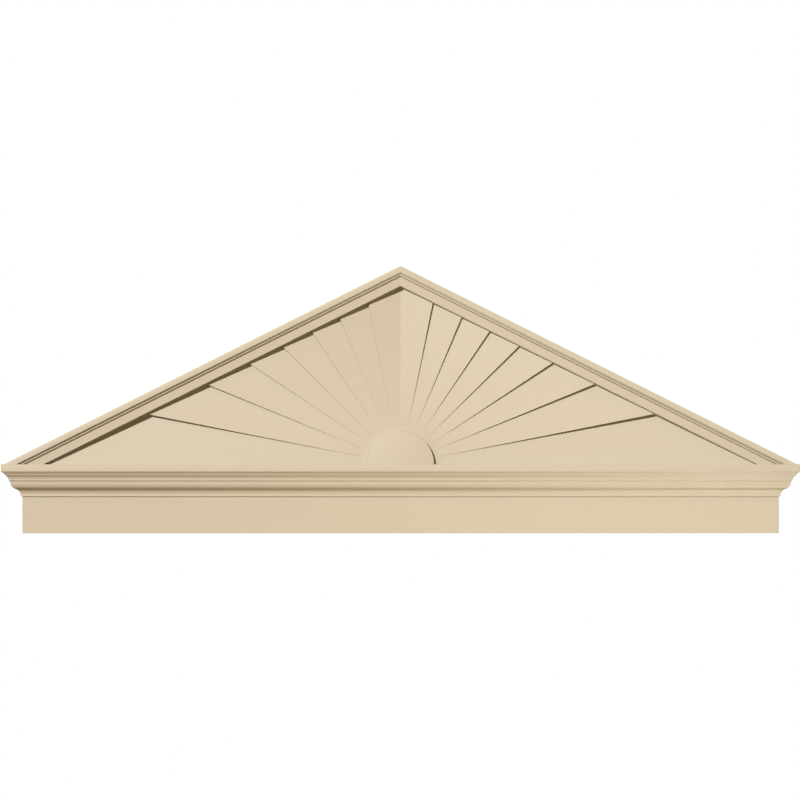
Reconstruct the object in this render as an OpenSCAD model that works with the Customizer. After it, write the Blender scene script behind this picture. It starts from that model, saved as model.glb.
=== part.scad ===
// Peaked pediment for the top of a door or window: a moulded crosshead with
// returned ends, and a sunburst cap with raking cornices that stands on it.
// Millimetres. +Z up, the flat back lies on the wall at y = 0, and the front
// faces -Y. The origin is on the wall at the crosshead's lower edge, on the
// centre line.

/* [Crosshead board] */
// Width of the frieze board, from end to end
frieze_w = 1829; // [1200:1:2400]
// Height of the frieze board that shows below the crown
frieze_h = 88.9; // [60:0.1:150]
// Thickness of the frieze board off the wall
frieze_t = 19; // [12:0.5:38]

/* [Crown moulding, from the top down] */
// Height of the upright fascia at the top
fascia_h = 17; // [10:0.1:30]
// Height of the bevel under the fascia
upper_bevel_h = 5.6; // [3:0.1:10]
// How far that bevel runs back
upper_bevel_out = 7.6; // [3:0.1:12]
// Height of the narrow band between the two bevels
band_h = 3; // [1.5:0.1:8]
// How far the narrow band leans back
band_out = 1.4; // [0.2:0.1:3]
// Height of the second bevel
lower_bevel_h = 3.6; // [2:0.1:8]
// How far the second bevel runs back
lower_bevel_out = 4.8; // [2:0.1:10]
// Height of the hollow (cavetto) below the bevels
cavetto_h = 9.9; // [6:0.1:18]
// How far the hollow runs back
cavetto_out = 4.4; // [2:0.1:5.5]
// Height of the small bevel that parts the hollow from the S-curve
quirk_h = 2.4; // [1:0.1:5]
// How far that small bevel runs back
quirk_out = 3.5; // [1:0.1:6]
// Height of the S-curve (cyma reversa)
cyma_h = 34.3; // [26:0.1:50]
// How far the S-curve runs back
cyma_out = 25.4; // [16:0.1:25.8]
// Share of the S-curve's radii that belongs to its convex upper arc
cyma_round = 0.53; // [0.3:0.01:0.7]
// Height of the lip at the foot of the crown
lip_h = 2; // [1:0.1:5]
// How far the lip stands off the frieze board
lip_out = 3.7; // [1:0.1:8]

/* [Peaked cap] */
// Rise of the cap for each unit of run
pitch = 0.5; // [0.35:0.01:0.75]
// How far the cap's tips stop short of the crosshead's ends
cap_inset = 7; // [0:0.5:20]
// How far the cap's front stands back from the crosshead's fascia
cap_setback = 7; // [0:0.5:20]

/* [Raking cornice, from its outer edge in] */
// Width of the outer band, square to the slope
rake_band_w = 13.3; // [8:0.1:25]
// Width of the outer bevel
rake_outer_bevel_w = 4.1; // [2:0.1:8]
// Depth of the outer bevel
rake_outer_bevel_d = 7; // [3:0.1:10]
// Width of the narrow band between the bevels
rake_strip_w = 2.6; // [1.5:0.1:6]
// Width of the inner bevel
rake_inner_bevel_w = 3.7; // [2:0.1:8]
// Depth of the inner bevel
rake_inner_bevel_d = 6; // [3:0.1:10]
// Width of the flat inner band
rake_flat_w = 19.2; // [12:0.1:35]
// How far the cornice's inner wall leans out for each unit of its depth
rake_draft = 0.2; // [0:0.01:0.4]

/* [Sunburst] */
// Radius of the half disc at the middle of the seam
disc_r = 81; // [50:1:120]
// Number of panels round the half circle
panel_count = 16; // [8:2:24]
// Depth of each panel's front edge behind the cornice's flat inner band
panel_d = 11.5; // [6:0.1:18]
// Clear ring round the disc in which the panels stay level
panel_ring_w = 18; // [8:1:40]
// Extra depth of a panel's back edge for each unit of radius past the ring
panel_fall = 0.025; // [0.01:0.0005:0.03]
// Angle that the small wall between two panels takes up
ray_wall_deg = 0.15; // [0.1:0.05:1]

/* [Hidden] */
$fn = 96;

PRIMER = [0.86, 0.79, 0.68];
// Overlap of a cutting shape past the face that it cuts
CUT = 5;

// Heights up the crosshead, from the underside
lip_z = frieze_h;
cyma_z = lip_z + lip_h;
quirk_z = cyma_z + cyma_h;
cavetto_z = quirk_z + quirk_h;
lower_bevel_z = cavetto_z + cavetto_h;
band_z = lower_bevel_z + lower_bevel_h;
upper_bevel_z = band_z + band_h;
fascia_z = upper_bevel_z + upper_bevel_h;
crosshead_h = fascia_z + fascia_h;

// How far each member stands off the frieze board's face
cyma_top_p = lip_out + cyma_out;
cavetto_foot_p = cyma_top_p + quirk_out;
cavetto_top_p = cavetto_foot_p + cavetto_out;
band_foot_p = cavetto_top_p + lower_bevel_out;
band_top_p = band_foot_p + band_out;
crown_p = band_top_p + upper_bevel_out;

// The S-curve's two arcs meet in one tangent, so their radii share one sum
cyma_radii = (cyma_out ^ 2 + cyma_h ^ 2) / (2 * cyma_out);
ovolo_r = cyma_radii * cyma_round;
cove_r = cyma_radii - ovolo_r;
cyma_turn = asin(cyma_h / cyma_radii);
// The hollow's arc ends upright at its foot
cavetto_r = (cavetto_out ^ 2 + cavetto_h ^ 2) / (2 * cavetto_out);
cavetto_turn = asin(cavetto_h / cavetto_r);
// Straight steps in each arc of the crown
ARC_STEPS = 10;

overall_w = frieze_w + 2 * crown_p;
crosshead_d = frieze_t + crown_p;

// Cap: half its base, its front and the levels behind it
cap_half = overall_w / 2 - cap_inset;
cap_h = cap_half * pitch;
cap_d = crosshead_d - cap_setback;
slope = atan(pitch);
rake_w = rake_band_w + rake_outer_bevel_w + rake_strip_w + rake_inner_bevel_w + rake_flat_w;
flat_d = rake_outer_bevel_d + rake_inner_bevel_d;
flat_y = -(cap_d - flat_d);
panel_y = flat_y + panel_d;

// Sunburst grid: columns round the half circle, rows out from the disc
PANEL_STRIPS = 4;
RAY_ROWS = 3;
panel_deg = 180 / panel_count;
ring_r = disc_r + panel_ring_w;
hub_r = disc_r / 2;
// The panels run on a little under the cornice, so that they join it
tuck_u = rake_w - CUT;

// ---------------------------------------------------------------- crosshead

// Points of an arc after its first one, between two angles
function arc(centre, r, from, to) = [
    for (i = [1 : ARC_STEPS])
        let (a = from + (to - from) * i / ARC_STEPS)
            centre + r * [cos(a), sin(a)]
];

// Front line of the board and crown, from the underside to the top: x is the
// projection from the frieze face, y the height
function crown_line() = concat(
    [[0, 0], [0, lip_z], [lip_out, lip_z], [lip_out, cyma_z]],
    arc([lip_out + cove_r, cyma_z], cove_r, 180, 180 - cyma_turn),
    arc([cyma_top_p - ovolo_r, quirk_z], ovolo_r, -cyma_turn, 0),
    [[cavetto_foot_p, cavetto_z]],
    arc([cavetto_foot_p + cavetto_r, cavetto_z], cavetto_r, 180, 180 - cavetto_turn),
    [[band_foot_p, band_z], [band_top_p, upper_bevel_z], [crown_p, fascia_z]],
    [[crown_p, crosshead_h]]
);

// Section through the board and crown, back to the wall
module front_section() {
    polygon(concat([[-frieze_t, 0]], crown_line(), [[-frieze_t, crosshead_h]]));
}

// Outline seen from the front: the same line at both ends
module end_outline() {
    line = crown_line();
    last = len(line) - 1;
    polygon(concat(
        [for (p = line) [frieze_w / 2 + p.x, p.y]],
        [for (i = [last : -1 : 0]) [-frieze_w / 2 - line[i].x, line[i].y]]
    ));
}

// The section run from end to end, and the outline run from front to back:
// what they share is mitred at the corners
module crosshead() {
    color(PRIMER)
    intersection() {
        rotate([90, 0, -90])
            translate([frieze_t, 0, -overall_w / 2 - CUT])
                linear_extrude(overall_w + 2 * CUT)
                    front_section();
        translate([0, CUT, 0])
            rotate([90, 0, 0])
                linear_extrude(crosshead_d + 2 * CUT)
                    end_outline();
    }
}

// --------------------------------------------------------------- peaked cap

// Section of the raking cornice: x is the distance in from the outer edge,
// square to the slope, and y the depth axis, with the wall at 0
module rake_section() {
    bevel_u = rake_band_w + rake_outer_bevel_w;
    strip_u = bevel_u + rake_strip_w;
    polygon([
        [0, 0],
        [0, -cap_d],
        [rake_band_w, -cap_d],
        [bevel_u, -cap_d + rake_outer_bevel_d],
        [strip_u, -cap_d + rake_outer_bevel_d],
        [strip_u + rake_inner_bevel_w, flat_y],
        [rake_w, flat_y],
        [rake_w - flat_y * rake_draft, 0],
    ]);
}

// Right-hand raking cornice, cut upright at the peak and level at the seam
module rake() {
    run = norm([cap_half, cap_h]);
    intersection() {
        translate([cap_half, 0, 0])
            rotate([0, slope - 90, 0])
                translate([0, 0, -run])
                    linear_extrude(3 * run)
                        children();
        translate([0, -cap_d - CUT, 0])
            cube([cap_half + CUT, cap_d + 2 * CUT, cap_h + CUT]);
    }
}

// Both cornices, mitred at the peak
module rakes() {
    for (side = [0, 1])
        mirror([side, 0, 0])
            rake() mirror([1, 0]) rake_section();
}

// Distance from the sunburst's centre to the panels' outer end, at an angle
function ray_end(a) =
    (cap_half * sin(slope) - tuck_u) / (abs(cos(a)) * sin(slope) + sin(a) * cos(slope));

// Columns of one quarter: each is an angle and a share of the panel's fall.
// A panel falls from its lower edge to its upper one, then a small wall
// climbs to the next, but not at the centre line, where two falls meet.
function quarter() = [
    for (k = [0 : panel_count / 2 - 1])
        let (wall = k < panel_count / 2 - 1 ? ray_wall_deg : 0)
            for (j = [0 : PANEL_STRIPS])
                let (share = j / PANEL_STRIPS)
                    [k * panel_deg + share * (panel_deg - wall), share]
];

// The quarter and its mirror image, without the centre line's second column
function half_circle() =
    let (q = quarter(), last = len(q) - 1)
        concat(q, [for (i = [last - 1 : -1 : 0]) [180 - q[i][0], q[i][1]]]);

// Radii of a column's rows: hub, ring, then even steps to the outer end
function row_radii(a) =
    concat([hub_r], [for (i = [0 : RAY_ROWS]) ring_r + (ray_end(a) - ring_r) * i / RAY_ROWS]);

function panel_point(col, r) =
    let (fall = panel_fall * max(0, r - ring_r) * col[1])
        [r * cos(col[0]), panel_y + fall, r * sin(col[0])];

// Slab of fanned panels, from the wall to their relief
module sunburst() {
    cols = half_circle();
    n = len(cols);
    rows = RAY_ROWS + 2;
    face_points = [for (c = cols) for (r = row_radii(c[0])) panel_point(c, r)];
    hub_points = [for (c = cols) [hub_r * cos(c[0]), 0, hub_r * sin(c[0])]];
    end_points = [for (c = cols) let (r = ray_end(c[0])) [r * cos(c[0]), 0, r * sin(c[0])]];
    hub = n * rows;
    end = hub + n;
    last = n - 1;
    grid_faces = [
        for (c = [0 : last - 1])
            for (i = [0 : rows - 2])
                for (half = [0, 1])
                    let (a = c * rows + i, b = a + rows)
                        half == 0 ? [a, b + 1, a + 1] : [a, b, b + 1]
    ];
    rim_faces = [
        for (c = [0 : last - 1])
            for (q = [
                [c * rows + rows - 1, (c + 1) * rows + rows - 1, end + c + 1, end + c],
                [c * rows, hub + c, hub + c + 1, (c + 1) * rows],
                [hub + c, end + c, end + c + 1, hub + c + 1],
            ]) q
    ];
    foot_faces = [
        [hub, rows - 1, end],
        [hub + last, end + last, last * rows + rows - 1],
        for (i = [0 : rows - 2])
            for (f = [
                [hub, i, i + 1],
                [hub + last, last * rows + i + 1, last * rows + i],
            ]) f
    ];
    polyhedron(points = concat(face_points, hub_points, end_points),
               faces = concat(grid_faces, rim_faces, foot_faces), convexity = 6);
}

// Flat half disc that the rays spring from, level with the inner band
module half_disc() {
    intersection() {
        rotate([90, 0, 0]) cylinder(r = disc_r, h = -flat_y);
        translate([-disc_r - CUT, flat_y - CUT, 0])
            cube([2 * (disc_r + CUT), CUT - flat_y, disc_r + CUT]);
    }
}

module peaked_cap() {
    color(PRIMER)
    translate([0, 0, crosshead_h])
    union() {
        rakes();
        sunburst();
        half_disc();
    }
}

crosshead();
peaked_cap();
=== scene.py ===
"""Looks of a moulded peaked pediment: a crosshead with returned ends and a sunburst cap.

Metres, in the row frame: +X along the width, +Z up, the wall plane at Y = 0 and
the front facing -Y. Each moulded piece is one closed mesh, shaped by a Geometry
Nodes tree from its section or its level form and dressed with the maker's primer.
"""

import logging
import math
from collections.abc import Iterable, Sequence
from dataclasses import dataclass, field
from enum import Enum

import bmesh
import bpy
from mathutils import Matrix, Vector

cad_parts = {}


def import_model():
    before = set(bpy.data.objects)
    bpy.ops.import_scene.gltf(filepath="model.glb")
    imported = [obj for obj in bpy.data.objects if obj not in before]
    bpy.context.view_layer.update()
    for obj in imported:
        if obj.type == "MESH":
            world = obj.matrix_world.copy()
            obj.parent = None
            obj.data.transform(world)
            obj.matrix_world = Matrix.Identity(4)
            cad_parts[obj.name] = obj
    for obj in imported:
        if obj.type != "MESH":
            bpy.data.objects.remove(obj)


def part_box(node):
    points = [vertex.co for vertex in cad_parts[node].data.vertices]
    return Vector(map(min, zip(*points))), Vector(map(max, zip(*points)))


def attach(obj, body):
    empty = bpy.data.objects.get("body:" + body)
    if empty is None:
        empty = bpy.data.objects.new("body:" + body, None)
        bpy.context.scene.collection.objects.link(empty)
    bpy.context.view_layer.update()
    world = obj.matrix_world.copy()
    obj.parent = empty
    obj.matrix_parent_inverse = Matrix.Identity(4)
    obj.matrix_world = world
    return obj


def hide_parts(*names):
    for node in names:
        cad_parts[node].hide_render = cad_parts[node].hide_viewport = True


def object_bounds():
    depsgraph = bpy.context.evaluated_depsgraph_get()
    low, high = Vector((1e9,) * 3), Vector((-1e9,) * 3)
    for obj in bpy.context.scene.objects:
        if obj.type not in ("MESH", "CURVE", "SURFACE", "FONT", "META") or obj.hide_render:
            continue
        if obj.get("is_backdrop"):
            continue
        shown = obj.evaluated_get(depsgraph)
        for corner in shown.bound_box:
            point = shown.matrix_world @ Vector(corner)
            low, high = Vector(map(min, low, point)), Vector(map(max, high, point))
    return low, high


LOG = logging.getLogger("pediment")
BODY = "root"
CORNER_SHARE = 0.4  # most of a side that a rounded corner may take
TINY = 1e-6  # keeps a divisor above nought

Point = tuple[float, float]
Colour = tuple[float, float, float, float]
Socket = bpy.types.NodeSocket
Tree = bpy.types.NodeTree
Sockets = dict[str, Socket]

WHITE: Colour = (1.0, 1.0, 1.0, 1.0)


class Side(Enum):
    """The two finishes of a moulded piece, in the order of its material slots."""

    SKIN = 0
    BACK = 1


class Tint(Enum):
    """Linear colours of the finishes and the floor, and UNLIT, which gives no light back."""

    PRIMER = (0.710, 0.578, 0.365)
    PRIMER_THIN = (0.740, 0.612, 0.400)
    PRIMER_DEEP = (0.670, 0.538, 0.328)
    DUST = (0.62, 0.58, 0.52)
    FOAM = (0.66, 0.50, 0.28)
    # The tone inside the foam's open pores is painted shade
    FOAM_PORE_SHADE = (0.40, 0.28, 0.14)
    FLOOR = (0.86, 0.86, 0.85)
    UNLIT = (0.0, 0.0, 0.0)

    @property
    def rgba(self) -> Colour:
        """The colour with full alpha."""
        return (*self.value, 1.0)


# ------------------------------------------------------------------ outlines


def arc(centre: Point, radius: float, start: float, end: float, steps: int) -> list[Point]:
    """Points of an arc after its first one.

    Args:
        centre: Centre of the arc.
        radius: Radius of the arc.
        start: Angle of the first point, in radians.
        end: Angle of the last point, in radians.
        steps: Number of straight steps.

    Returns:
        The points, without the one at the start angle.
    """
    angles = (start + (end - start) * i / steps for i in range(1, steps + 1))
    return [(centre[0] + radius * math.cos(a), centre[1] + radius * math.sin(a)) for a in angles]


def soften(
    line: Sequence[Point], radius: float, steps: int = 3, least_turn: float = 20.0
) -> list[Point]:
    """Round each sharp corner of an open line.

    Args:
        line: Corner points.
        radius: Length taken off each side of a corner.
        steps: Straight steps in a rounded corner.
        least_turn: Corners that turn by less than this, in degrees, stay as they are.

    Returns:
        The line with its inner sharp corners rounded.
    """
    out = [line[0]]
    for before, corner, after in zip(line, line[1:], line[2:]):
        a, c, b = Vector(before), Vector(corner), Vector(after)
        to_a, to_b = a - c, b - c
        if math.degrees(math.pi - to_a.angle(to_b)) < least_turn:
            out.append(corner)
            continue
        start = c + to_a.normalized() * min(radius, to_a.length * CORNER_SHARE)
        end = c + to_b.normalized() * min(radius, to_b.length * CORNER_SHARE)
        for i in range(steps + 1):
            t = i / steps
            p = start * (1 - t) ** 2 + c * 2 * t * (1 - t) + end * t**2
            out.append((p.x, p.y))
    out.append(line[-1])
    return out


# ------------------------------------------------------------ node building


class Wires:
    """Adds nodes to a tree and joins them, with constants or sockets as inputs."""

    def __init__(self, tree: Tree) -> None:
        """Keep the tree that the nodes go into."""
        self.tree = tree

    def put(self, socket: Socket, value: object) -> None:
        """Feed an input.

        Args:
            socket: The input.
            value: A socket to join it to, or its constant.
        """
        if isinstance(value, Socket):
            self.tree.links.new(value, socket)
        else:
            socket.default_value = value

    def node(self, kind: str, inputs: dict | None = None, **settings: object) -> bpy.types.Node:
        """Add a node.

        Args:
            kind: The node's type name.
            inputs: Values or sockets, by input name or number.
            settings: Properties of the node itself.

        Returns:
            The new node.
        """
        made = self.tree.nodes.new(kind)
        for name, value in settings.items():
            setattr(made, name, value)
        for key, value in (inputs or {}).items():
            self.put(made.inputs[key], value)
        return made

    def math(self, operation: str, a: object, b: object = 0.0, c: object = 0.0) -> Socket:
        """Add a math node and return its result."""
        return self.node("ShaderNodeMath", {0: a, 1: b, 2: c}, operation=operation).outputs[0]

    def vector(self, x: object, y: object, z: object) -> Socket:
        """Join three numbers into a vector."""
        return self.node("ShaderNodeCombineXYZ", {0: x, 1: y, 2: z}).outputs[0]

    def split(self, vector: Socket) -> tuple[Socket, ...]:
        """Part a vector into its three numbers."""
        return tuple(self.node("ShaderNodeSeparateXYZ", {0: vector}).outputs)


def geometry_tree(name: str, sizes: Iterable[str]) -> tuple[Tree, Wires, Sockets]:
    """Start a Geometry Nodes tree with named sizes.

    Args:
        name: Name of the tree.
        sizes: Names of its number inputs.

    Returns:
        The tree, its wires, and its inputs by name.
    """
    tree = bpy.data.node_groups.new(name, "GeometryNodeTree")
    tree.interface.new_socket("Geometry", in_out="INPUT", socket_type="NodeSocketGeometry")
    for size in sizes:
        tree.interface.new_socket(size, in_out="INPUT", socket_type="NodeSocketFloat")
    tree.interface.new_socket("Finish", in_out="INPUT", socket_type="NodeSocketMaterial")
    tree.interface.new_socket("Geometry", in_out="OUTPUT", socket_type="NodeSocketGeometry")
    wires = Wires(tree)
    entry = wires.node("NodeGroupInput")
    return tree, wires, {s.name: s for s in entry.outputs if s.name}


def finish_tree(wires: Wires, geometry: Socket, finish: Socket) -> None:
    """End a tree in Realize Instances and Set Material.

    Args:
        wires: Wires of the tree.
        geometry: What the tree has made.
        finish: The material that it gets.
    """
    real = wires.node("GeometryNodeRealizeInstances", {"Geometry": geometry})
    dressed = wires.node(
        "GeometryNodeSetMaterial", {"Geometry": real.outputs[0], "Material": finish}
    )
    leave = wires.node("NodeGroupOutput")
    wires.tree.links.new(dressed.outputs[0], leave.inputs["Geometry"])


def baked(mesh: bpy.types.Mesh, tree: Tree, sizes: dict[str, object]) -> bpy.types.Mesh:
    """Run a tree on a mesh and return the plain mesh that it makes.

    Args:
        mesh: What the tree starts from.
        tree: The Geometry Nodes tree.
        sizes: Values of its inputs, by name.

    Returns:
        A new mesh, with no modifier behind it.
    """
    holder = bpy.data.objects.new("holder", mesh)
    bpy.context.scene.collection.objects.link(holder)
    modifier = holder.modifiers.new("make", "NODES")
    modifier.node_group = tree
    for item in tree.interface.items_tree:
        if item.in_out == "INPUT" and item.name in sizes:
            modifier[item.identifier] = sizes[item.name]
    holder.update_tag()
    bpy.context.view_layer.update()
    evaluated = holder.evaluated_get(bpy.context.evaluated_depsgraph_get())
    made = bpy.data.meshes.new_from_object(evaluated)
    holder.modifiers.remove(modifier)
    bpy.data.objects.remove(holder)
    return made


# ------------------------------------------------------------ shader effects


def effect_group(
    name: str, inputs: dict[str, float], outputs: Iterable[str]
) -> tuple[Tree, Wires, Sockets, bpy.types.Node]:
    """Start a shader node group that takes a vector and numbers and gives numbers.

    Args:
        name: Name of the group.
        inputs: Number inputs and their usual values.
        outputs: Names of its number outputs.

    Returns:
        The group, its wires, its inputs by name, and its output node.
    """
    group = bpy.data.node_groups.new(name, "ShaderNodeTree")
    group.interface.new_socket("Vector", in_out="INPUT", socket_type="NodeSocketVector")
    for key, value in inputs.items():
        made = group.interface.new_socket(key, in_out="INPUT", socket_type="NodeSocketFloat")
        made.default_value = value
    for key in outputs:
        group.interface.new_socket(key, in_out="OUTPUT", socket_type="NodeSocketFloat")
    wires = Wires(group)
    entry = wires.node("NodeGroupInput")
    leave = wires.node("NodeGroupOutput")
    return group, wires, {s.name: s for s in entry.outputs if s.name}, leave


def noise(wires: Wires, vector: Socket, scale: object, detail: float, rough: float) -> Socket:
    """Add a noise texture.

    Args:
        wires: Wires of the tree.
        vector: Where the texture is read.
        scale: Its scale.
        detail: How many finer layers it has.
        rough: How much each finer layer counts.

    Returns:
        The noise's value.
    """
    made = wires.node(
        "ShaderNodeTexNoise",
        {"Vector": vector, "Scale": scale, "Detail": detail, "Roughness": rough},
    )
    return made.outputs[0]


def spread(wires: Wires, value: Socket, low: float, high: float) -> Socket:
    """Stretch a value from a range to 0 and 1, with smooth ends.

    Args:
        wires: Wires of the tree.
        value: The value.
        low: What becomes 0. It may be the greater of the two.
        high: What becomes 1.

    Returns:
        The stretched value.
    """
    made = wires.node(
        "ShaderNodeMapRange",
        {"Value": value, "From Min": low, "From Max": high},
        interpolation_type="SMOOTHSTEP",
    )
    return made.outputs[0]


@dataclass
class Effects:
    """Node groups that the finishes share, each built once."""

    stipple_share: float = 0.35
    nib_share: float = 0.5
    nib_size: float = 0.045
    cloud_range: tuple[float, float] = (0.3, 0.7)
    dust_tilt: tuple[float, float] = (0.55, 0.95)
    dust_range: tuple[float, float] = (0.35, 0.7)
    spray: Tree = field(init=False)
    cloud: Tree = field(init=False)
    dust: Tree = field(init=False)

    def __post_init__(self) -> None:
        """Build the groups."""
        self.spray = self._spray()
        self.cloud = self._cloud()
        self.dust = self._dust()

    def _spray(self) -> Tree:
        """Make the height of a sprayed coat: orange peel, fine stipple and a few nibs.

        Returns:
            The group.
        """
        scales = {"Peel": 210.0, "Stipple": 900.0, "Nibs": 60.0}
        group, w, given, leave = effect_group("sprayed_coat", scales, ("Height",))
        place = given["Vector"]
        peel = noise(w, place, given["Peel"], detail=1.0, rough=0.4)
        stipple = noise(w, place, given["Stipple"], detail=2.0, rough=0.6)
        cells = w.node("ShaderNodeTexVoronoi", {"Vector": place, "Scale": given["Nibs"]})
        nib = spread(w, cells.outputs["Distance"], self.nib_size, 0.0)
        height = w.math("MULTIPLY_ADD", stipple, self.stipple_share, peel)
        w.put(leave.inputs["Height"], w.math("MULTIPLY_ADD", nib, self.nib_share, height))
        return group

    def _cloud(self) -> Tree:
        """Make the slow drift and small mottle in how thickly a coat lies.

        Returns:
            The group.
        """
        scales = {"Drift": 2.2, "Mottle": 26.0}
        group, w, given, leave = effect_group("coat_cloud", scales, ("Drift", "Mottle"))
        drift = noise(w, given["Vector"], given["Drift"], detail=3.0, rough=0.55)
        mottle = noise(w, given["Vector"], given["Mottle"], detail=4.0, rough=0.6)
        w.put(leave.inputs["Drift"], spread(w, drift, *self.cloud_range))
        w.put(leave.inputs["Mottle"], spread(w, mottle, *self.cloud_range))
        return group

    def _dust(self) -> Tree:
        """Make the mask of dust that has settled on upward faces, in soft patches.

        Returns:
            The group.
        """
        group, w, given, leave = effect_group("settled_dust", {"Patch": 9.0}, ("Mask",))
        normal = w.node("ShaderNodeNewGeometry").outputs["Normal"]
        tilt, level = self.dust_tilt
        up = w.node(
            "ShaderNodeMapRange", {"Value": w.split(normal)[2], "From Min": tilt, "From Max": level}
        )
        patch = noise(w, given["Vector"], given["Patch"], detail=5.0, rough=0.6)
        lying = spread(w, patch, *self.dust_range)
        w.put(leave.inputs["Mask"], w.math("MULTIPLY", up.outputs[0], lying))
        return group


class Dresser:
    """Wires of one material, with its Principled shader and object coordinates."""

    def __init__(self, name: str) -> None:
        """Start an empty material.

        Args:
            name: Name of the material.
        """
        self.material = bpy.data.materials.new(name)
        self.material.use_nodes = True
        tree = self.material.node_tree
        tree.nodes.clear()
        self.wires = Wires(tree)
        self.shader = self.wires.node("ShaderNodeBsdfPrincipled")
        output = self.wires.node("ShaderNodeOutputMaterial")
        tree.links.new(self.shader.outputs[0], output.inputs[0])
        self.place = self.wires.node("ShaderNodeTexCoord").outputs["Object"]

    def effect(self, group: Tree, **values: float) -> bpy.types.Node:
        """Place a shared effect with this material's own values.

        Args:
            group: The effect's node group.
            values: Inputs that differ from their usual values.

        Returns:
            The group's node.
        """
        made = self.wires.node("ShaderNodeGroup", node_tree=group)
        self.wires.put(made.inputs["Vector"], self.place)
        for key, value in values.items():
            made.inputs[key].default_value = value
        return made

    def mix(self, share: object, low: object, high: object) -> Socket:
        """Mix two colours.

        Args:
            share: How much of the second one there is.
            low: The first colour.
            high: The second colour.

        Returns:
            The mixed colour.
        """
        # The colour sockets share their names with the number ones, so they go by place
        first, second, result = 6, 7, 2
        values = {"Factor": share, first: low, second: high}
        return self.wires.node("ShaderNodeMix", values, data_type="RGBA").outputs[result]

    def bump(self, height: Socket, depth: float) -> None:
        """Feed a height to the shader's normal."""
        made = self.wires.node("ShaderNodeBump", {"Height": height, "Strength": 1.0, "Distance": depth})
        self.wires.put(self.shader.inputs["Normal"], made.outputs[0])


@dataclass(frozen=True)
class PrimerFinish:
    """Factory primer: a low satin tan coat, a little cloudy, with fine orange peel."""

    name: str = "factory_primer"
    roughness: float = 0.50
    mottle_rough: float = 0.07
    dust_rough: float = 0.5
    peel_depth: float = 0.00012
    thin_share: float = 0.22
    deep_share: float = 0.16
    dust_share: float = 0.30
    glow_loss: float = 0.80

    def build(self, effects: Effects) -> bpy.types.Material:
        """Make the material from the shared effects.

        Args:
            effects: The node groups that it uses.

        Returns:
            The material.
        """
        d = Dresser(self.name)
        w = d.wires
        cloud = d.effect(effects.cloud)
        thin = w.math("MULTIPLY", cloud.outputs["Drift"], self.thin_share)
        deep = w.math("MULTIPLY", cloud.outputs["Mottle"], self.deep_share)
        tone = d.mix(thin, Tint.PRIMER.rgba, Tint.PRIMER_THIN.rgba)
        tone = d.mix(deep, tone, Tint.PRIMER_DEEP.rgba)
        dust = w.math("MULTIPLY", d.effect(effects.dust).outputs["Mask"], self.dust_share)
        tone = d.mix(dust, tone, Tint.DUST.rgba)
        # Diffuse rays meet a deeper tone, so a lit ledge hardly glows on the face above it
        path = w.node("ShaderNodeLightPath")
        loss = w.math("MULTIPLY", path.outputs["Is Diffuse Ray"], self.glow_loss)
        w.put(d.shader.inputs["Base Color"], d.mix(loss, tone, Tint.UNLIT.rgba))
        coat = w.math("MULTIPLY_ADD", cloud.outputs["Mottle"], self.mottle_rough, self.roughness)
        w.put(d.shader.inputs["Roughness"], w.math("MULTIPLY_ADD", dust, self.dust_rough, coat))
        d.bump(d.effect(effects.spray).outputs["Height"], self.peel_depth)
        return d.material


@dataclass(frozen=True)
class FoamBack:
    """Planed back of the moulding: bare rigid foam with open pores, whose insides are painted darker as
    painted shade, and overspray.
    """

    name: str = "planed_foam"
    roughness: float = 0.85
    mottle_rough: float = 0.08
    pores: float = 420.0
    pore_range: tuple[float, float] = (0.42, 0.12)
    pore_shade_share: float = 0.6
    pore_depth: float = 0.0005
    drift: float = 3.0
    mottle: float = 40.0
    overspray: float = 0.55

    def build(self, effects: Effects) -> bpy.types.Material:
        """Make the material from the shared effects.

        Args:
            effects: The node groups that it uses.

        Returns:
            The material.
        """
        d = Dresser(self.name)
        w = d.wires
        cells = w.node("ShaderNodeTexVoronoi", {"Vector": d.place, "Scale": self.pores})
        pore = spread(w, cells.outputs["Distance"], *self.pore_range)
        cloud = d.effect(effects.cloud, Drift=self.drift, Mottle=self.mottle)
        # The pores get a darker tone, which is painted shade inside the open cells; their bump below is
        # real
        pore_shade = w.math("MULTIPLY", pore, self.pore_shade_share)
        tone = d.mix(pore_shade, Tint.FOAM.rgba, Tint.FOAM_PORE_SHADE.rgba)
        spray = w.math("MULTIPLY", cloud.outputs["Drift"], self.overspray)
        w.put(d.shader.inputs["Base Color"], d.mix(spray, tone, Tint.PRIMER.rgba))
        coat = w.math("MULTIPLY_ADD", cloud.outputs["Mottle"], self.mottle_rough, self.roughness)
        w.put(d.shader.inputs["Roughness"], coat)
        d.bump(w.math("SUBTRACT", 1.0, pore), self.pore_depth)
        return d.material


# ------------------------------------------------------------------- pieces


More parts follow.
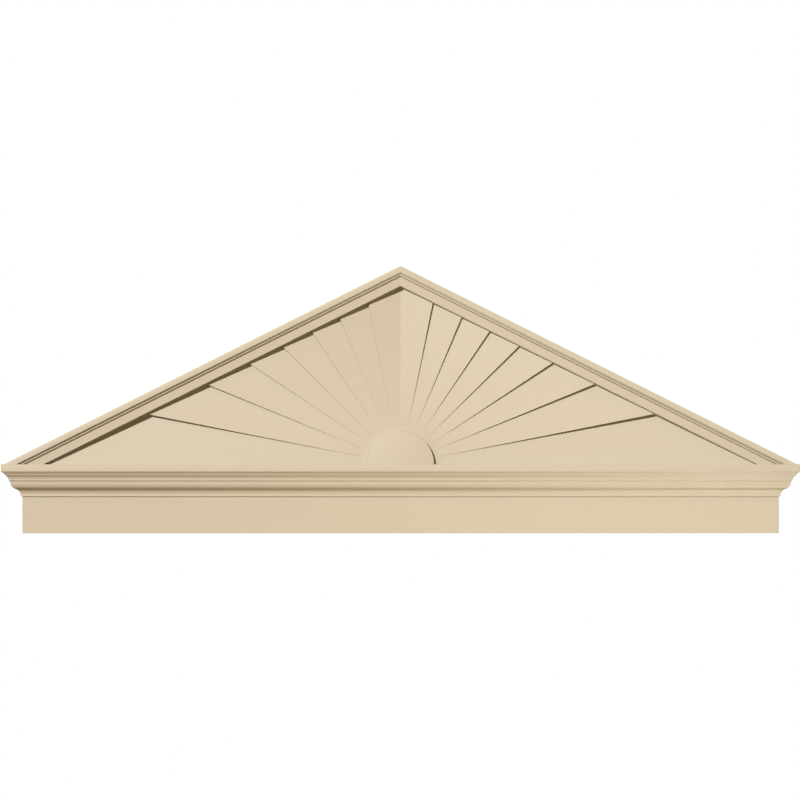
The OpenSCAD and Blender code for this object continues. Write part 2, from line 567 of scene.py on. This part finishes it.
@dataclass
class MouldedPiece:
    """What both mouldings share: finishes, a closed shell and their place in the frame."""

    finishes: dict[Side, bpy.types.Material]
    softness: float = 0.0009
    smooth_below: float = 14.0
    weld_reach: float = 1e-6
    least_edge: float = 1e-7
    wall_reach: float = 1e-5

    def close_back(self, mesh: bpy.types.Mesh) -> None:
        """Close an open shell on the wall plane and turn its faces outwards.

        Args:
            mesh: Shell whose open edge lies in the wall plane.
        """
        bm = bmesh.new()
        bm.from_mesh(mesh)
        bmesh.ops.remove_doubles(bm, verts=bm.verts, dist=self.weld_reach)
        bmesh.ops.dissolve_degenerate(bm, dist=self.least_edge, edges=bm.edges)
        open_edges = [e for e in bm.edges if e.is_boundary]
        bmesh.ops.holes_fill(bm, edges=open_edges, sides=0)
        bmesh.ops.recalc_face_normals(bm, faces=bm.faces)
        bm.to_mesh(mesh)
        bm.free()

    def present(self, name: str, mesh: bpy.types.Mesh) -> bpy.types.Object:
        """Dress a closed mesh and hand it to the frame in place of its CAD node.

        Args:
            name: Name of the piece and, with no ending, of its CAD node.
            mesh: Closed mesh in its place.

        Returns:
            The finished piece.
        """
        mesh.materials.clear()
        for side in Side:
            mesh.materials.append(self.finishes[side])
        for face in mesh.polygons:
            on_wall = all(abs(mesh.vertices[v].co.y) < self.wall_reach for v in face.vertices)
            face.material_index = Side.BACK.value if on_wall else Side.SKIN.value
            face.use_smooth = True
        mesh.set_sharp_from_angle(angle=math.radians(self.smooth_below))
        piece = bpy.data.objects.new(f"{name}_moulding", mesh)
        bpy.context.scene.collection.objects.link(piece)
        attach(piece, BODY)
        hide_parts(name)
        return piece


@dataclass
class Crosshead(MouldedPiece):
    """Plain frieze board under a crown moulding that returns to the wall at both ends."""

    board_t: float = 0.019
    lip_out: float = 0.0037
    lip_h: float = 0.0020
    cyma_out: float = 0.0254
    cyma_h: float = 0.0343
    cyma_round: float = 0.53
    quirk_out: float = 0.0035
    quirk_h: float = 0.0024
    cavetto_out: float = 0.0044
    cavetto_h: float = 0.0099
    lower_bevel_out: float = 0.0048
    lower_bevel_h: float = 0.0036
    band_out: float = 0.0014
    band_h: float = 0.0030
    upper_bevel_out: float = 0.0076
    upper_bevel_h: float = 0.0056
    fascia_h: float = 0.0170
    arc_steps: int = 16
    corner_cut: float = 0.3
    node: str = "crosshead"

    def crown_line(self, top: float) -> list[Point]:
        """Front line of the board and crown, from the underside up.

        Args:
            top: Height of the flat top.

        Returns:
            Points of projection from the frieze face and height.
        """
        crown_h = (
            self.lip_h + self.cyma_h + self.quirk_h + self.cavetto_h
            + self.lower_bevel_h + self.band_h + self.upper_bevel_h + self.fascia_h
        )
        lip_z = top - crown_h
        cyma_z = lip_z + self.lip_h
        radii = (self.cyma_out**2 + self.cyma_h**2) / (2 * self.cyma_out)
        turn = math.asin(self.cyma_h / radii)
        ovolo_r = radii * self.cyma_round
        cove_r = radii - ovolo_r
        cove = (self.lip_out + cove_r, cyma_z)
        ovolo = (self.lip_out + self.cyma_out - ovolo_r, cyma_z + self.cyma_h)
        line = [(0.0, 0.0), (0.0, lip_z), (self.lip_out, lip_z), (self.lip_out, cyma_z)]
        line += arc(cove, cove_r, math.pi, math.pi - turn, self.arc_steps)
        line += arc(ovolo, ovolo_r, -turn, 0.0, self.arc_steps)
        quirk = (line[-1][0] + self.quirk_out, line[-1][1] + self.quirk_h)
        hollow_r = (self.cavetto_out**2 + self.cavetto_h**2) / (2 * self.cavetto_out)
        hollow_turn = math.asin(self.cavetto_h / hollow_r)
        hollow = (quirk[0] + hollow_r, quirk[1])
        line.append(quirk)
        line += arc(hollow, hollow_r, math.pi, math.pi - hollow_turn, self.arc_steps // 2)
        steps_up = (
            (self.lower_bevel_out, self.lower_bevel_h),
            (self.band_out, self.band_h),
            (self.upper_bevel_out, self.upper_bevel_h),
            (0.0, self.fascia_h),
        )
        for out, up in steps_up:
            line.append((line[-1][0] + out, line[-1][1] + up))
        return line

    def mitred_run(self) -> Tree:
        """Make the tree that runs a section round both front corners, from wall to wall.

        Returns:
            The tree.
        """
        tree, w, given = geometry_tree("mitred_run", ("Half width", "Board", "Corner"))
        # At each end the stations go from the wall, over the softened corner, to the front
        cut_x = (0.0, 0.0, self.corner_cut, 1.0)
        cut_y = (0.0, 1.0, self.corner_cut, 0.0)
        stations = len(cut_x) + len(cut_y)
        last = float(stations - 1)
        section = given["Geometry"]
        domain = w.node("GeometryNodeAttributeDomainSize", {"Geometry": section})
        count = domain.outputs["Point Count"]
        grid = w.node(
            "GeometryNodeMeshGrid",
            {"Size X": 1.0, "Size Y": 1.0, "Vertices X": count, "Vertices Y": stations},
        )
        along, across, _ = w.split(w.node("GeometryNodeInputPosition").outputs[0])
        last_row = w.math("SUBTRACT", count, 1.0)
        row = w.math("ROUND", w.math("MULTIPLY", w.math("ADD", along, 0.5), last_row))
        station = w.math("ROUND", w.math("MULTIPLY", w.math("ADD", across, 0.5), last))
        sampled = w.node(
            "GeometryNodeSampleIndex", {"Geometry": section}, data_type="FLOAT_VECTOR", domain="POINT"
        )
        w.put(sampled.inputs["Value"], w.node("GeometryNodeInputPosition").outputs[0])
        w.put(sampled.inputs["Index"], row)
        out, _, height = w.split(sampled.outputs[0])
        right = w.math("GREATER_THAN", station, last / 2)
        side = w.math("SUBTRACT", w.math("MULTIPLY", right, 2.0), 1.0)
        step = w.math("MINIMUM", station, w.math("SUBTRACT", last, station))
        inset_x = w.math("MULTIPLY", self.pick(w, step, cut_x), given["Corner"])
        inset_y = w.math("MULTIPLY", self.pick(w, step, cut_y), given["Corner"])
        off_wall = w.math("GREATER_THAN", step, 0.5)
        half = w.math("SUBTRACT", w.math("ADD", given["Half width"], out), inset_x)
        depth = w.math("SUBTRACT", w.math("ADD", given["Board"], out), inset_y)
        depth = w.math("MULTIPLY", w.math("MAXIMUM", depth, 0.0), off_wall)
        spot = w.vector(w.math("MULTIPLY", side, half), w.math("MULTIPLY", depth, -1.0), height)
        moved = w.node(
            "GeometryNodeSetPosition", {"Geometry": grid.outputs["Mesh"], "Position": spot}
        )
        finish_tree(w, moved.outputs[0], given["Finish"])
        return tree

    @staticmethod
    def pick(wires: Wires, index: Socket, values: Sequence[float]) -> Socket:
        """Choose one of a few numbers.

        Args:
            wires: Wires of the tree.
            index: Whole number that says which.
            values: The numbers.

        Returns:
            The chosen number.
        """
        switch = wires.node("GeometryNodeIndexSwitch", data_type="FLOAT")
        while len(switch.index_switch_items) < len(values):
            switch.index_switch_items.new()
        wires.put(switch.inputs[0], index)
        for i, value in enumerate(values):
            switch.inputs[i + 1].default_value = value
        return switch.outputs[0]

    def build(self) -> bpy.types.Object:
        """Make the crosshead inside its CAD node's box.

        Returns:
            The finished piece.
        """
        low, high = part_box(self.node)
        line = self.crown_line(high.z)
        half = high.x - line[-1][0]
        line = soften([(-self.board_t, 0.0), *line, (-self.board_t, high.z)], self.softness)
        section = bpy.data.meshes.new("crown_section")
        points = [(out, 0.0, up) for out, up in line]
        section.from_pydata(points, [(i, i + 1) for i in range(len(points) - 1)], [])
        sizes = {
            "Half width": half,
            "Board": -low.y - (high.x - half),
            "Corner": self.softness,
            "Finish": self.finishes[Side.SKIN],
        }
        mesh = baked(section, self.mitred_run(), sizes)
        self.close_back(mesh)
        return self.present(self.node, mesh)


@dataclass
class PeakedCap(MouldedPiece):
    """Raking cornices round a sunburst of fanned panels that spring from a half disc."""

    band_w: float = 0.0133
    outer_bevel_w: float = 0.0041
    outer_bevel_d: float = 0.0070
    strip_w: float = 0.0026
    inner_bevel_w: float = 0.0037
    inner_bevel_d: float = 0.0060
    flat_w: float = 0.0192
    draft: float = 0.20
    disc_r: float = 0.081
    disc_draft: float = 0.0004
    disc_softness: float = 0.00054
    panels: int = 16
    panel_d: float = 0.0115
    ring_w: float = 0.018
    fall: float = 0.025
    wall_deg: float = 0.15
    ridge_ease: float = 0.12
    foot_w: float = 0.004
    nudge: float = 1e-5
    panel_rows: int = 8
    node: str = "peaked_cap"

    def __post_init__(self) -> None:
        """Read the cap's own box from the frame and work out the sizes that follow."""
        low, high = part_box(self.node)
        self.half = high.x
        self.base_z = low.z
        self.slope = math.atan2(high.z - low.z, high.x)
        self.depth = -low.y
        bevels_w = self.outer_bevel_w + self.inner_bevel_w
        self.rake_w = self.band_w + self.strip_w + self.flat_w + bevels_w
        self.flat_y = -self.depth + self.outer_bevel_d + self.inner_bevel_d
        self.panel_y = self.flat_y + self.panel_d
        self.panel_deg = 180.0 / self.panels

    def radius_at(self, inset: float, angle: float) -> float:
        """Distance from the sunburst's centre to a line along the rake.

        Args:
            inset: How far the line lies in from the outer edge.
            angle: Angle above the seam, in radians.

        Returns:
            The distance along the ray at that angle.
        """
        rise, run = math.sin(self.slope), math.cos(self.slope)
        reach = self.half * rise - inset
        return reach / (abs(math.cos(angle)) * rise + math.sin(angle) * run)

    def angles(self) -> list[float]:
        """Spread the grid's columns, closest at the small walls between panels.

        Returns:
            Their angles above the seam, in radians.
        """
        wall = self.wall_deg / self.panel_deg
        near_high = (0.0, 0.006, 0.016, 0.034)
        middle = (0.10, 0.22, 0.36, 0.50, 0.64, 0.78, 0.89)
        before_wall = (1 - wall - 0.02, 1 - wall - 0.008)
        in_wall = tuple(1 - wall * share for share in (1.0, 0.7, 0.4, 0.15))
        shares = near_high + middle + before_wall + in_wall
        per_side = self.panels // 2
        quarter = [(k + s) * self.panel_deg for k in range(per_side) for s in shares]
        degrees = quarter + [90.0] + [180.0 - a for a in reversed(quarter)]
        return [math.radians(a) for a in degrees]

    def disc_rows(self) -> list[Point]:
        """Lay the rows over the half disc and out to the ring's edge.

        Returns:
            Radius and depth of each row.
        """
        corners = [
            (0.0, self.flat_y),
            (self.disc_r, self.flat_y),
            (self.disc_r + self.disc_draft, self.panel_y),
            (self.disc_r + self.ring_w, self.panel_y),
        ]
        return soften(corners, self.disc_softness)

    def rake_rows(self) -> list[Point]:
        """Lay the rows from the panels' outer end over the cornice to the wall.

        Returns:
            Inset from the outer edge, and depth, of each row.
        """
        foot = self.rake_w + self.draft * self.panel_d
        strip_y = -self.depth + self.outer_bevel_d
        flat_edge = self.rake_w - self.flat_w
        strip_edge = flat_edge - self.inner_bevel_w
        corners = [
            (foot + self.foot_w, self.panel_y),
            (foot, self.panel_y),
            (self.rake_w, self.flat_y),
            (flat_edge, self.flat_y),
            (strip_edge, strip_y),
            (strip_edge - self.strip_w, strip_y),
            (self.band_w, -self.depth),
            (0.0, -self.depth),
            (0.0, 0.0),
        ]
        return soften(corners, self.softness)

    def column(self, angle: float) -> list[tuple[float, float, float]]:
        """Lay one column of points from the centre out to the wall.

        Args:
            angle: Angle above the seam, in radians.

        Returns:
            Radius, depth and share of the fall of each point.
        """
        disc, rake = self.disc_rows(), self.rake_rows()
        start = disc[-1][0]
        run = self.radius_at(rake[0][0], angle) - start
        points = [(radius, y, 0.0) for radius, y in disc]
        for i in range(1, self.panel_rows):
            points.append((start + run * i / self.panel_rows, self.panel_y, 1.0))
        softened_y = self.panel_y - self.softness - self.nudge
        for inset, y in rake:
            on_panel = y > softened_y and inset > 0
            points.append((self.radius_at(inset, angle), y, float(on_panel)))
        return points

    def level_mesh(self) -> bpy.types.Mesh:
        """Make the closed cap with level panels.

        Returns:
            The mesh, with the share of the fall ("follow") and of the slide along the
            leaning inner wall ("foot") that each point takes.
        """
        angles = self.angles()
        rake_start = len(self.disc_rows()) + self.panel_rows - 1
        points: list[tuple[float, float, float]] = []
        follow: list[float] = []
        foot: list[float] = []
        for angle in angles:
            column = self.column(angle)
            for i, (radius, y, falls) in enumerate(column):
                points.append((radius * math.cos(angle), y, self.base_z + radius * math.sin(angle)))
                follow.append(falls)
                foot.append(falls if i >= rake_start else 0.0)
        rows = len(points) // len(angles)
        last = len(angles) - 1
        faces = [
            (c * rows + i, (c + 1) * rows + i, (c + 1) * rows + i + 1, c * rows + i + 1)
            for c in range(last)
            for i in range(rows - 1)
        ]
        faces.append(tuple(range(rows)) + tuple(last * rows + i for i in range(rows - 1, 0, -1)))
        faces.append(tuple(c * rows + rows - 1 for c in range(last + 1)))
        mesh = bpy.data.meshes.new("level_cap")
        mesh.from_pydata(points, [], faces)
        for name, values in (("follow", follow), ("foot", foot)):
            mesh.attributes.new(name, "FLOAT", "POINT").data.foreach_set("value", values)
        return mesh

    def panel_share(self, w: Wires, angle: Socket, given: Sockets) -> Socket:
        """Work out how far across the fall of its panel a point lies.

        Args:
            w: Wires of the tree.
            angle: The point's angle above the seam.
            given: The tree's inputs.

        Returns:
            0 at a panel's lower edge, 1 at the top of its fall.
        """
        turn = w.math("DIVIDE", angle, given["Panel angle"])
        last_panel = float(self.panels // 2 - 1)
        # The nudge keeps the points of a panel's lower edge in that panel
        whole = w.math("FLOOR", w.math("ADD", turn, self.nudge))
        panel = w.math("MINIMUM", whole, last_panel)
        part = w.math("MAXIMUM", w.math("SUBTRACT", turn, panel), 0.0)
        # The panel beside the centre line has no wall: it meets its mirror image in a ridge
        walled = w.math("LESS_THAN", panel, last_panel - 0.5)
        wall = w.math("MULTIPLY", given["Wall share"], walled)
        climb = w.math("DIVIDE", part, w.math("SUBTRACT", 1.0, wall))
        left = w.math("SUBTRACT", 1.0, part)
        drop = w.math("DIVIDE", left, w.math("MAXIMUM", wall, TINY))
        no_drop = w.math("MULTIPLY", w.math("SUBTRACT", 1.0, walled), 2.0)
        drop = w.math("ADD", drop, no_drop)
        return w.math("SMOOTH_MIN", climb, drop, self.ridge_ease)

    def ray_fall(self) -> Tree:
        """Make the tree that lets each panel fall back towards the centre line.

        Returns:
            The tree.
        """
        names = ("Panel angle", "Wall share", "Ring radius", "Fall", "Draft", "Slope", "Seam height")
        tree, w, given = geometry_tree("ray_fall", names)
        x, y, z = w.split(w.node("GeometryNodeInputPosition").outputs[0])
        across = w.math("ABSOLUTE", x)
        up = w.math("SUBTRACT", z, given["Seam height"])
        angle = w.math("ARCTAN2", up, across)
        square = w.math("ADD", w.math("MULTIPLY", across, across), w.math("MULTIPLY", up, up))
        radius = w.math("SQRT", square)
        share = self.panel_share(w, angle, given)
        past = w.math("MAXIMUM", w.math("SUBTRACT", radius, given["Ring radius"]), 0.0)
        follow, foot = [
            w.node("GeometryNodeInputNamedAttribute", {"Name": name}, data_type="FLOAT").outputs[0]
            for name in ("follow", "foot")
        ]
        reach = w.math("MULTIPLY", past, given["Fall"])
        fall = w.math("MULTIPLY", reach, w.math("MULTIPLY", share, follow))
        # The foot of the leaning inner wall moves in along its ray as the panel falls back
        rise, run = w.math("SINE", given["Slope"]), w.math("COSINE", given["Slope"])
        lean = w.math(
            "ADD",
            w.math("MULTIPLY", run, w.math("SINE", angle)),
            w.math("MULTIPLY", rise, w.math("COSINE", angle)),
        )
        in_plane = w.math("DIVIDE", w.math("MULTIPLY", fall, given["Draft"]), lean)
        slide = w.math("MULTIPLY", foot, in_plane)
        cut = w.math("DIVIDE", slide, w.math("MAXIMUM", radius, TINY))
        shrink = w.math("SUBTRACT", 1.0, cut)
        spot = w.vector(
            w.math("MULTIPLY", x, shrink),
            w.math("ADD", y, fall),
            w.math("ADD", given["Seam height"], w.math("MULTIPLY", up, shrink)),
        )
        moved = w.node(
            "GeometryNodeSetPosition", {"Geometry": given["Geometry"], "Position": spot}
        )
        finish_tree(w, moved.outputs[0], given["Finish"])
        return tree

    def build(self) -> bpy.types.Object:
        """Make the cap inside its CAD node's box.

        Returns:
            The finished piece.
        """
        sizes = {
            "Panel angle": math.radians(self.panel_deg),
            "Wall share": self.wall_deg / self.panel_deg,
            "Ring radius": self.disc_r + self.ring_w,
            "Fall": self.fall,
            "Draft": self.draft,
            "Slope": self.slope,
            "Seam height": self.base_z,
            "Finish": self.finishes[Side.SKIN],
        }
        mesh = baked(self.level_mesh(), self.ray_fall(), sizes)
        self.close_back(mesh)
        return self.present(self.node, mesh)


# -------------------------------------------------------------------- studio


@dataclass(frozen=True)
class Lamp:
    """A round softbox aimed at the middle of the piece's front."""

    name: str
    offset: tuple[float, float, float]
    size: float
    power: float
    tint: tuple[float, float, float] = (1.0, 1.0, 1.0)

    def hang(self, centre: Vector) -> None:
        """Place the lamp.

        Args:
            centre: Point that the offset is counted from, and that the lamp faces.
        """
        light = bpy.data.lights.new(self.name, "AREA")
        light.shape = "DISK"
        light.size = self.size
        light.energy = self.power
        light.color = self.tint
        lamp = bpy.data.objects.new(self.name, light)
        bpy.context.scene.collection.objects.link(lamp)
        lamp.location = centre + Vector(self.offset)
        lamp.rotation_euler = (-Vector(self.offset)).to_track_quat("-Z", "Y").to_euler()
        lamp.visible_camera = False


@dataclass
class Studio:
    """White studio: a far key from the upper left, weak fills below, in front and behind."""

    low: Vector
    high: Vector
    lens: float = 800.0
    sensor: float = 36.0
    margin: float = 1.0009
    aim_off: tuple[float, float] = (-0.0012, -0.0007)
    sight: float = 100.0
    floor_drop: float = 2.1
    floor_size: float = 7.0
    floor_rough: float = 0.9
    room_light: float = 0.20
    room_tint: Colour = (1.0, 0.82, 0.58, 1.0)
    lamps: tuple[Lamp, ...] = (
        Lamp("key", (-14.2, -28.0, 13.55), 0.70, 13080.0, (0.80, 0.849, 1.0)),
        Lamp("low_fill", (0.88, -0.04, -1.45), 0.06, 9.7, (0.95, 0.96, 1.0)),
        Lamp("front_fill", (0.45, -1.2, -0.1), 0.30, 0.8, (1.0, 0.97, 0.95)),
        Lamp("back_fill", (0.0, 6.0, -0.4), 1.50, 260.0),
    )

    def build(self) -> None:
        """Set up the camera, lights, floor and world."""
        middle = (self.low + self.high) / 2
        front = Vector((middle.x, self.low.y, middle.z))
        self.camera(front)
        for lamp in self.lamps:
            lamp.hang(front)
        self.floor()
        self.world()
        bpy.context.scene.view_settings.view_transform = "Standard"

    def camera(self, front: Vector) -> None:
        """Aim a long lens squarely at the front.

        Args:
            front: The middle of the front.
        """
        data = bpy.data.cameras.new("camera")
        data.lens = self.lens
        data.sensor_width = self.sensor
        data.clip_end = self.sight
        camera = bpy.data.objects.new("camera", data)
        bpy.context.scene.collection.objects.link(camera)
        width = (self.high.x - self.low.x) * self.margin
        away = width * self.lens / self.sensor
        camera.location = front + Vector((self.aim_off[0], -away, self.aim_off[1]))
        camera.rotation_euler = (math.radians(90.0), 0.0, 0.0)
        bpy.context.scene.camera = camera

    def floor(self) -> None:
        """Lay a pale floor as far under the piece as a door is high."""
        s = self.floor_size / 2
        z = self.low.z - self.floor_drop
        mesh = bpy.data.meshes.new("floor")
        mesh.from_pydata([(-s, -s, z), (s, -s, z), (s, s, z), (-s, s, z)], [], [(0, 1, 2, 3)])
        floor = bpy.data.objects.new("floor", mesh)
        bpy.context.scene.collection.objects.link(floor)
        d = Dresser("pale_floor")
        d.shader.inputs["Base Color"].default_value = Tint.FLOOR.rgba
        d.shader.inputs["Roughness"].default_value = self.floor_rough
        mesh.materials.append(d.material)
        floor.visible_diffuse = False
        floor.visible_glossy = False
        floor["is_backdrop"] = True

    def world(self) -> None:
        """Make the room white to the camera, and a weak even light on the piece."""
        world = bpy.data.worlds.new("studio")
        bpy.context.scene.world = world
        world.use_nodes = True
        w = Wires(world.node_tree)
        world.node_tree.nodes.clear()
        seen = w.node("ShaderNodeBackground", {"Color": WHITE, "Strength": 1.0})
        felt = w.node(
            "ShaderNodeBackground", {"Color": self.room_tint, "Strength": self.room_light}
        )
        to_camera = w.node("ShaderNodeLightPath").outputs["Is Camera Ray"]
        both = w.node("ShaderNodeMixShader", {0: to_camera, 1: felt.outputs[0], 2: seen.outputs[0]})
        out = w.node("ShaderNodeOutputWorld")
        world.node_tree.links.new(both.outputs[0], out.inputs[0])


def main() -> None:
    """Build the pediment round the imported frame, with its studio."""
    logging.basicConfig(level=logging.INFO, format="%(name)s: %(message)s")
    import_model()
    cad_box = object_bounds()
    Studio(*cad_box).build()
    effects = Effects()
    finishes = {Side.SKIN: PrimerFinish().build(effects), Side.BACK: FoamBack().build(effects)}
    for piece in (Crosshead(finishes), PeakedCap(finishes)):
        made = piece.build()
        LOG.info("%s: %d faces", made.name, len(made.data.polygons))


if __name__ == "__main__":
    main()
